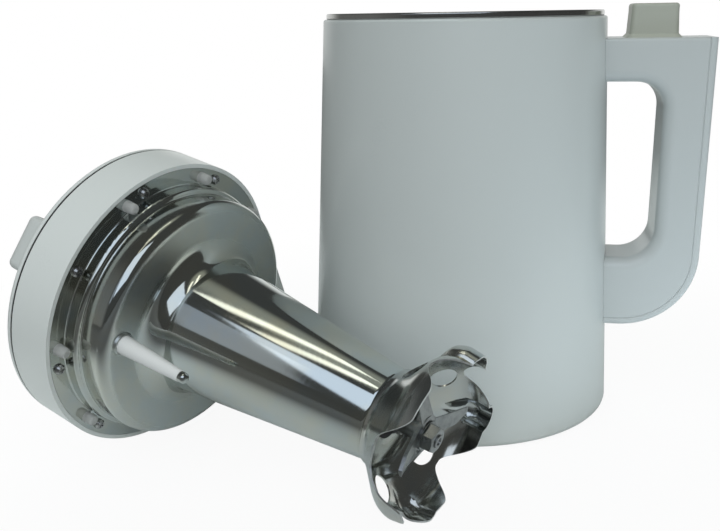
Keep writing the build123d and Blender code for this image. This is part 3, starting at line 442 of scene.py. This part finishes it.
def guard_hole_cutters():
    """Pegs through the bowl, one above each narrow notch."""
    bpy.ops.object.select_all(action="DESELECT")
    pegs = []
    for turn in [notch for notch, _, flat in notches if not flat]:
        angle = math.radians(turn)
        across, along = math.cos(angle), math.sin(angle)
        lean = Vector((across, along, 1)).normalized()
        place = head_place @ Vector((hole_radius * across, hole_radius * along, -hole_drop))
        aim = (head_axes @ lean).to_track_quat("Z", "Y").to_euler()
        bpy.ops.mesh.primitive_cylinder_add(
            vertices=48, radius=hole_size, depth=0.012, location=place, rotation=aim)
        pegs.append(bpy.context.object)
    for peg in pegs:
        peg.select_set(True)
    bpy.ops.object.join()
    return bpy.context.object


def add_guard():
    """The guard's sheet, bent from a flat grid, closed round its axis, thickened and pierced."""
    bpy.ops.object.select_all(action="DESELECT")
    bpy.ops.mesh.primitive_grid_add(x_subdivisions=420, y_subdivisions=60, size=1)
    guard = bpy.context.object
    guard.name = "guard_sheet"
    for vertex in guard.data.vertices:
        vertex.co = guard_point((vertex.co.x + 0.5) * 360, vertex.co.y + 0.5)
    bpy.ops.object.mode_set(mode="EDIT")
    bpy.ops.mesh.select_all(action="SELECT")
    bpy.ops.mesh.remove_doubles(threshold=0.00002)
    bpy.ops.mesh.normals_make_consistent(inside=False)
    bpy.ops.object.mode_set(mode="OBJECT")
    guard.data.materials.append(finishes["guard_steel"])
    # The rim faces take the paler metal: a painted highlight on the edges.
    guard.data.materials.append(finishes["cut_edge_painted_highlight"])
    apply_modifier(guard, "SOLIDIFY", thickness=guard_sheet, offset=0.0, use_even_offset=True,
                   material_offset_rim=1)
    cutters = guard_hole_cutters()
    apply_modifier(guard, "BOOLEAN", operation="DIFFERENCE", object=cutters, solver="EXACT")
    bpy.data.objects.remove(cutters, do_unlink=True)
    bpy.ops.object.select_all(action="DESELECT")
    guard.select_set(True)
    bpy.context.view_layer.objects.active = guard
    bpy.ops.object.shade_smooth_by_angle(angle=math.radians(34))
    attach(guard, "head")
    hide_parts("blade_guard")


add_guard()


def add_camera():
    """Camera at the photograph's viewing angle."""
    yaw, pitch, roll = math.radians(-10.69), math.radians(15.86), math.radians(-0.98)
    ahead = Vector((math.sin(yaw) * math.cos(pitch), math.cos(yaw) * math.cos(pitch), -math.sin(pitch)))
    right = ahead.cross(Vector((0, 0, 1))).normalized()
    up = right.cross(ahead)
    right, up = right * math.cos(roll) + up * math.sin(roll), up * math.cos(roll) - right * math.sin(roll)
    data = bpy.data.cameras.new("camera")
    data.sensor_width = 36.0
    data.lens = 44.32
    data.clip_start = 0.01
    camera = bpy.data.objects.new("camera", data)
    axes = Matrix((right, up, -ahead)).transposed().to_4x4()
    camera.matrix_world = Matrix.Translation((0.0350, -0.4965, 0.2159)) @ axes
    bpy.context.scene.collection.objects.link(camera)
    bpy.context.scene.camera = camera


def add_lamp(name, place, target, size, power, colour, turn=None):
    """A soft panel that faces its target, or faces down, turned about the upright."""
    data = bpy.data.lights.new(name, "AREA")
    data.shape = "RECTANGLE"
    data.size, data.size_y = size
    data.energy = power
    data.color = colour
    lamp = bpy.data.objects.new(name, data)
    lamp.location = place
    if turn is None:
        lamp.rotation_euler = (Vector(target) - Vector(place)).to_track_quat("-Z", "Y").to_euler()
    else:
        lamp.rotation_euler = (0, 0, turn)
    lamp.visible_camera = False
    bpy.context.scene.collection.objects.link(lamp)
    return lamp


def add_floor():
    """A floor, pale round the object and dark grey further out: it carries the shadow, and is plain white to
    the camera.
    """
    bpy.ops.object.select_all(action="DESELECT")
    bpy.ops.mesh.primitive_plane_add(size=8.0, location=(0, 0, -0.0002))
    floor = bpy.context.object
    floor.name = "floor"
    f = Finish("floor_paper")
    x, y, z = f.parts_of(f.place())
    away = (x * x + y * y) ** 0.5
    seen = f.node("ShaderNodeLightPath")["Is Camera Ray"]
    white_part = 0.93 + f.step(away, 0.16, 0.42) * 0.07
    # Pale (0.86) in a patch round the object and dark grey (0.16) further out, as mirrors and bounced light
    # see it.
    sheet = f.step(y, -0.30, -0.13) * f.step(x, -0.42, -0.26) * (1 - f.step(away, 0.5, 1.0))
    tint = f.mix(sheet, (0.16, 0.16, 0.16), (0.86, 0.89, 0.89))
    paper = f.node("ShaderNodeBsdfDiffuse", None, {"Color": tint})["BSDF"]
    glow = f.node("ShaderNodeEmission", None, {"Color": (1, 1, 1), "Strength": 1.0})["Emission"]
    f.close(f.blend(seen * white_part, paper, glow))
    floor.data.materials.append(f.material)


def add_world():
    """White to the camera, a soft front light, and to mirrors a dim room with a white backdrop."""
    world = bpy.data.worlds.new("studio")
    world.use_nodes = True
    w = Nodes(world.node_tree, "ShaderNodeOutputWorld")
    seen = w.node("ShaderNodeLightPath")
    x, y, z = w.parts_of(w.node("ShaderNodeTexCoord")["Generated"])
    leftward = w.step(x * -1, 0.55, 0.95) * (1 - w.step(z, 0.55, 0.85))
    room = w.mix(leftward, (0.062, 0.064, 0.062), (0.19, 0.195, 0.19))
    room = w.mix(w.step(z, 0.93, 0.985), room, (0.34, 0.35, 0.30))
    backdrop = w.step(y, 0.45, 0.75) * (1 - w.step(z, 0.12, 0.42))
    room = w.mix(backdrop, room, (0.85, 0.87, 0.86))
    front = (0.30 - y * 0.36 + z * 0.25).high(0.20)
    soft = w.node("ShaderNodeBackground", None, {"Color": (0.97, 1.0, 0.97), "Strength": front})["Background"]
    mirror = w.node("ShaderNodeBackground", None, {"Color": room})["Background"]
    paper = w.node("ShaderNodeBackground", None, {"Color": (1, 1, 1)})["Background"]
    lit = w.blend(seen["Is Glossy Ray"], soft, mirror)
    clear_view = seen["Is Camera Ray"].high(seen["Is Transmission Ray"])
    w.close(w.blend(clear_view, lit, paper))
    bpy.context.scene.world = world


add_camera()
add_floor()
add_world()
daylight, warm_tube = (0.86, 0.97, 1.14), (1.0, 0.98, 0.84)
strip_turn = math.radians(37.7)
add_lamp("window", (-0.11, -1.22, 1.08), (-0.06, -0.12, 0.06), (1.38, 1.1), 5.0, daylight)
add_lamp("side_pane", (-0.98, -1.16, 0.95), (-0.06, -0.12, 0.06), (0.32, 0.9), 0.32, daylight)
add_lamp("ceiling_strip_a", (-0.31, -0.205, 1.5), None, (0.73, 0.10), 0.40, warm_tube, strip_turn)
add_lamp("ceiling_strip_b", (-0.36, -0.54, 1.5), None, (0.64, 0.10), 0.35, warm_tube, strip_turn)
soft_white, cool_white = (0.95, 1.0, 0.97), (0.82, 0.97, 1.12)
front_soft = add_lamp("front_soft", (0.20, -1.30, 0.60), (0.0, -0.05, 0.09), (1.1, 0.8), 3.2, soft_white)
floor_card = add_lamp("floor_card", (0.22, -0.17, 0.002), (0.22, -0.17, 1), (0.20, 0.26), 0.28, cool_white)
back_soft = add_lamp("back_soft", (-0.15, 1.30, 0.80), (-0.02, 0.0, 0.10), (0.8, 1.0), 7.0, soft_white)
for lamp in (front_soft, floor_card, back_soft):
    lamp.visible_glossy = False
bpy.context.scene.view_settings.view_transform = "Standard"
